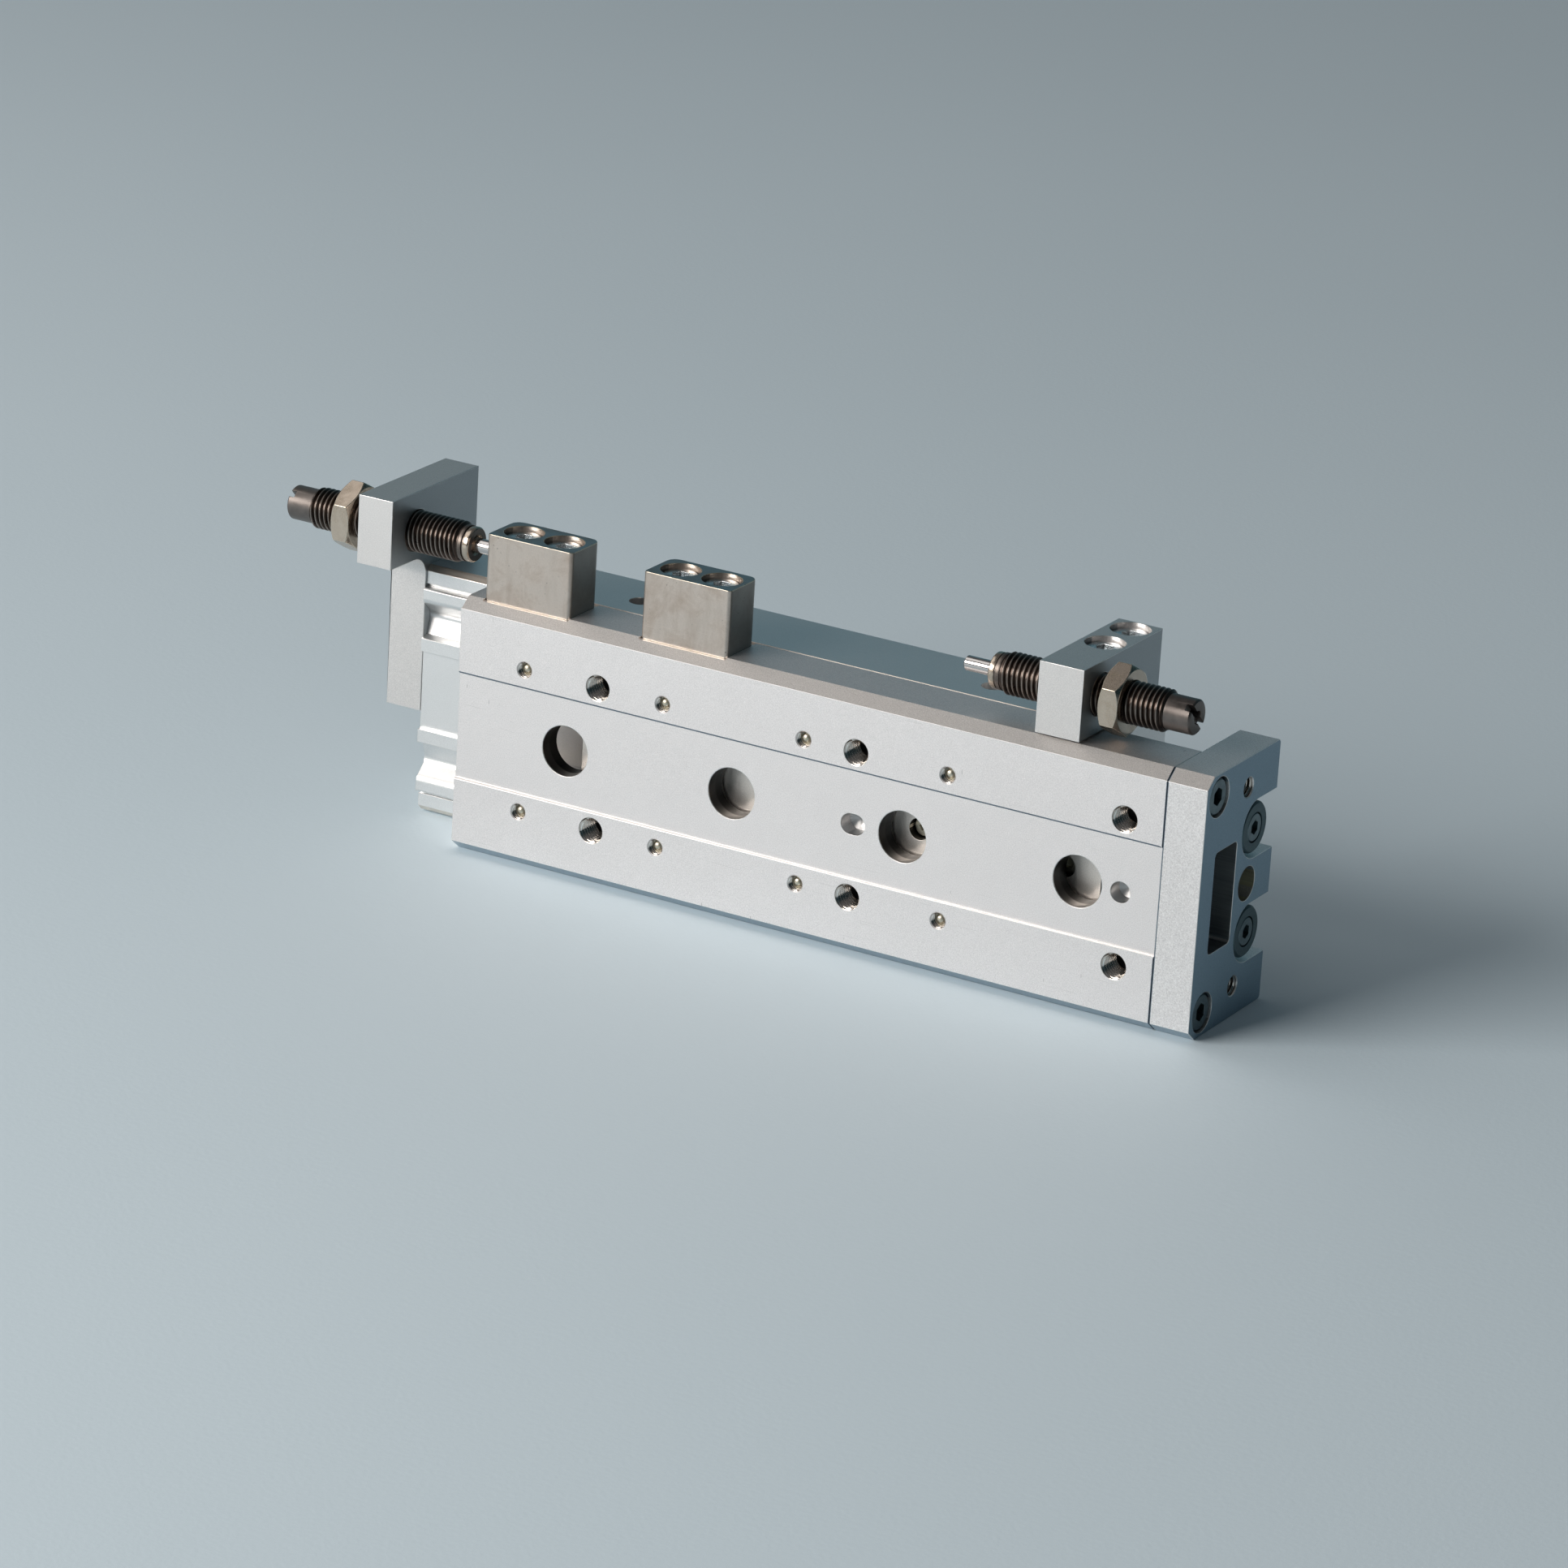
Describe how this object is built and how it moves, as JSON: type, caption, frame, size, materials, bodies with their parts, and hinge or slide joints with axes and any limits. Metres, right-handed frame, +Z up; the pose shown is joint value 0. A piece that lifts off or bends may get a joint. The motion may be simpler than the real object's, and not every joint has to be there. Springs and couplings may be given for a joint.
{
  "type": "pneumatic slide table",
  "caption": "Compact air slide: a flat table with an end plate, moved by twin rods on a crossed roller guide, with stop blocks and threaded shock absorbers along one side.",
  "frame": {"origin": "centre of the whole unit's footprint, on the surface it stands on", "axes": "+X is the way the table extends, +Y runs from the table's face to the body's back, +Z is up"},
  "size_m": [0.1998, 0.0324, 0.0652],
  "materials": {
    "body_aluminium": "clear anodised extrusion with brighter grooves",
    "table_aluminium": "fine bead blasted and clear anodised",
    "plate_aluminium": "fine bead blasted and clear anodised",
    "mount_aluminium": "machined and clear anodised",
    "guide_steel": "ground stainless steel",
    "block_nickel": "nickel plated steel, slightly stained",
    "rod_chrome": "ground and hard chromed",
    "screw_zinc": "bright zinc plated",
    "rail_screw_steel": "plain stainless steel",
    "absorber_oxide": "dark bronze oxide",
    "absorber_nickel": "thin nickel with a warm tint",
    "bush_steel": "turned steel, lightly oiled",
    "piston_brass": "turned brass",
    "cover_aluminium": "turned aluminium",
    "seal_rubber": "matte black nitrile rubber",
    "bumper_rubber": "matte dark urethane",
    "magnet_ferrite": "matte bonded ferrite",
    "cage_resin": "matte ivory resin",
    "roller_steel": "polished hardened steel"
  },
  "bodies": {
    "base": {"body": "body_aluminium", "centre_rail": "guide_steel", "centre_rail_screws": "rail_screw_steel", "head_caps": "cover_aluminium", "head_cap_seals": "seal_rubber", "rear_bumpers": "bumper_rubber", "rod_cover_upper": "cover_aluminium", "rod_cover_lower": "cover_aluminium", "rod_cover_seals": "seal_rubber", "rod_seals": "seal_rubber", "front_bumpers": "bumper_rubber", "retaining_rings": "bush_steel", "port_plugs": "piston_brass", "rear_bracket": "mount_aluminium", "rear_bracket_screws": "screw_zinc", "front_holder": "mount_aluminium", "front_holder_screws": "screw_zinc"},
    "table": {"table": "table_aluminium", "end_plate": "plate_aluminium", "end_plate_screws": "screw_zinc", "side_rail_upper": "guide_steel", "side_rail_lower": "guide_steel", "side_rail_screws": "rail_screw_steel", "rod_upper": "rod_chrome", "rod_lower": "rod_chrome", "piston_upper": "piston_brass", "piston_lower": "piston_brass", "piston_seals": "seal_rubber", "piston_magnets": "magnet_ferrite", "floating_bushes": "bush_steel", "rod_end_screws": "screw_zinc", "stop_block_rear": "block_nickel", "stop_block_front": "block_nickel", "stop_block_screws": "screw_zinc"},
    "roller_cages": {"roller_cage_upper": "cage_resin", "roller_cage_lower": "cage_resin", "rollers_upper": "roller_steel", "rollers_lower": "roller_steel"},
    "rear_absorber": {"rear_absorber_body": "absorber_oxide", "rear_absorber_bush": "absorber_nickel", "rear_lock_nut": "absorber_nickel"},
    "rear_absorber_plunger": {"rear_absorber_rod": "rod_chrome"},
    "front_absorber": {"front_absorber_body": "absorber_oxide", "front_absorber_bush": "absorber_nickel", "front_lock_nut": "absorber_nickel"},
    "front_absorber_plunger": {"front_absorber_rod": "rod_chrome"}
  },
  "joints": [
    {"name": "table_slide", "type": "slide", "parent": "base", "child": "table", "axis": [1, 0, 0], "range_m": [0, 0.0456]},
    {"name": "roller_cage_slide", "type": "slide", "parent": "base", "child": "roller_cages", "axis": [1, 0, 0], "range_m": [0, 0.0228]},
    {"name": "rear_absorber_adjust", "type": "slide", "parent": "base", "child": "rear_absorber", "axis": [1, 0, 0], "range_m": [-0.008, 0]},
    {"name": "front_absorber_adjust", "type": "slide", "parent": "base", "child": "front_absorber", "axis": [1, 0, 0], "range_m": [0, 0.008]},
    {"name": "rear_plunger_slide", "type": "slide", "parent": "rear_absorber", "child": "rear_absorber_plunger", "axis": [-1, 0, 0], "range_m": [0, 0.006], "stiffness_N_per_m": 450, "springref_m": -0.006},
    {"name": "front_plunger_slide", "type": "slide", "parent": "front_absorber", "child": "front_absorber_plunger", "axis": [1, 0, 0], "range_m": [0, 0.006], "stiffness_N_per_m": 450, "springref_m": -0.006}
  ],
  "couplings": [
    {"joint": "roller_cage_slide", "follows": "table_slide", "ratio": 0.5}
  ]
}
